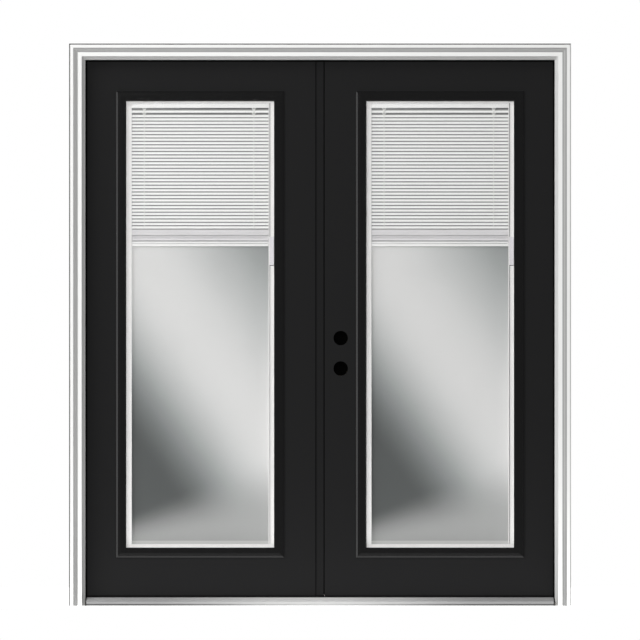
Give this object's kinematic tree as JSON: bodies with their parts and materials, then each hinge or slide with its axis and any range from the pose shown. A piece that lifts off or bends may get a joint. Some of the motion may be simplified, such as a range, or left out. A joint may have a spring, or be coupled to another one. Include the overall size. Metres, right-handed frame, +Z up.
{
  "type": "glazed double door unit",
  "caption": "Inswing double door in its frame, each slab with a tall sealed glass panel holding a blind between the panes.",
  "frame": {"origin": "on the sill's underside, midway between the jambs, in line with the jambs' outer edge", "axes": "+X to the right seen from outside, +Y into the room, +Z up"},
  "size_m": [1.8752, 0.1609, 2.101],
  "materials": {
    "frame_paint": "satin",
    "sill_composite": "matte",
    "sill_aluminium": "satin",
    "seal_foam": "matte",
    "hinge_steel": "satin",
    "bolt_steel": "satin",
    "slab_aluminium": "satin",
    "slab_timber": "satin",
    "slab_foam": "matte",
    "lite_plastic": "satin",
    "pane_glass": "gloss",
    "blind_frame_white": "satin",
    "blind_rail_white": "satin",
    "slat_white": "satin",
    "stack_white": "satin",
    "operator_plastic": "satin",
    "sweep_rubber": "matte",
    "astragal_aluminium": "satin"
  },
  "bodies": {
    "frame": {"left_jamb": "frame_paint", "right_jamb": "frame_paint", "head_jamb": "frame_paint", "left_brickmould": "frame_paint", "right_brickmould": "frame_paint", "head_brickmould": "frame_paint", "sill_base": "sill_composite", "sill_deck": "sill_aluminium", "sill_cap": "sill_composite", "left_jamb_seal": "seal_foam", "right_jamb_seal": "seal_foam", "head_seal": "seal_foam", "left_jamb_hinge_leaves": "hinge_steel", "right_jamb_hinge_leaves": "hinge_steel", "left_hinge_pins": "hinge_steel", "right_hinge_pins": "hinge_steel"},
    "left_door": {"left_exterior_skin": "slab_aluminium", "left_interior_skin": "slab_aluminium", "left_hinge_stile": "slab_timber", "left_lock_stile": "slab_timber", "left_top_rail": "slab_timber", "left_bottom_rail": "slab_timber", "left_core": "slab_foam", "left_exterior_lite_frame": "lite_plastic", "left_interior_lite_frame": "lite_plastic", "left_outer_pane": "pane_glass", "left_inner_pane": "pane_glass", "left_blind_frame": "blind_frame_white", "left_blind_headrail": "blind_rail_white", "left_blind_slats": "slat_white", "left_door_sweep": "sweep_rubber", "left_door_hinge_leaves": "hinge_steel", "astragal": "astragal_aluminium", "astragal_seal": "seal_foam", "astragal_boot": "seal_foam"},
    "right_door": {"right_exterior_skin": "slab_aluminium", "right_interior_skin": "slab_aluminium", "right_hinge_stile": "slab_timber", "right_lock_stile": "slab_timber", "right_top_rail": "slab_timber", "right_bottom_rail": "slab_timber", "right_core": "slab_foam", "right_exterior_lite_frame": "lite_plastic", "right_interior_lite_frame": "lite_plastic", "right_outer_pane": "pane_glass", "right_inner_pane": "pane_glass", "right_blind_frame": "blind_frame_white", "right_blind_headrail": "blind_rail_white", "right_blind_slats": "slat_white", "right_door_sweep": "sweep_rubber", "right_door_hinge_leaves": "hinge_steel", "right_lock_block": "slab_timber"},
    "left_gathered_slats": {"left_blind_stack": "stack_white"},
    "left_blind_foot": {"left_blind_bottom_rail": "blind_rail_white", "left_blind_operator": "operator_plastic"},
    "right_gathered_slats": {"right_blind_stack": "stack_white"},
    "right_blind_foot": {"right_blind_bottom_rail": "blind_rail_white", "right_blind_operator": "operator_plastic"},
    "top_bolt": {"top_flush_bolt": "bolt_steel"},
    "bottom_bolt": {"bottom_flush_bolt": "bolt_steel"}
  },
  "joints": [
    {"name": "left_door_swing", "type": "hinge", "parent": "frame", "child": "left_door", "pos_m": [-0.8822, 0.1227, 0], "axis": [0, 0, 1], "range_deg": [0, 110]},
    {"name": "right_door_swing", "type": "hinge", "parent": "frame", "child": "right_door", "pos_m": [0.8822, 0.1227, 0], "axis": [0, 0, -1], "range_deg": [0, 110]},
    {"name": "left_blind_raise", "type": "slide", "parent": "left_door", "child": "left_gathered_slats", "axis": [0, 0, 1], "range_m": [0, 0.43], "deforming": ["left_blind_slats"]},
    {"name": "left_blind_lower", "type": "slide", "parent": "left_gathered_slats", "child": "left_blind_foot", "axis": [0, 0, 1], "range_m": [-1.04, 0], "deforming": ["left_blind_stack"]},
    {"name": "right_blind_raise", "type": "slide", "parent": "right_door", "child": "right_gathered_slats", "axis": [0, 0, 1], "range_m": [0, 0.43], "deforming": ["right_blind_slats"]},
    {"name": "right_blind_lower", "type": "slide", "parent": "right_gathered_slats", "child": "right_blind_foot", "axis": [0, 0, 1], "range_m": [-1.04, 0], "deforming": ["right_blind_stack"]},
    {"name": "top_bolt_slide", "type": "slide", "parent": "left_door", "child": "top_bolt", "axis": [0, 0, 1], "range_m": [0, 0.019]},
    {"name": "bottom_bolt_slide", "type": "slide", "parent": "left_door", "child": "bottom_bolt", "axis": [0, 0, -1], "range_m": [0, 0.019]}
  ]
}
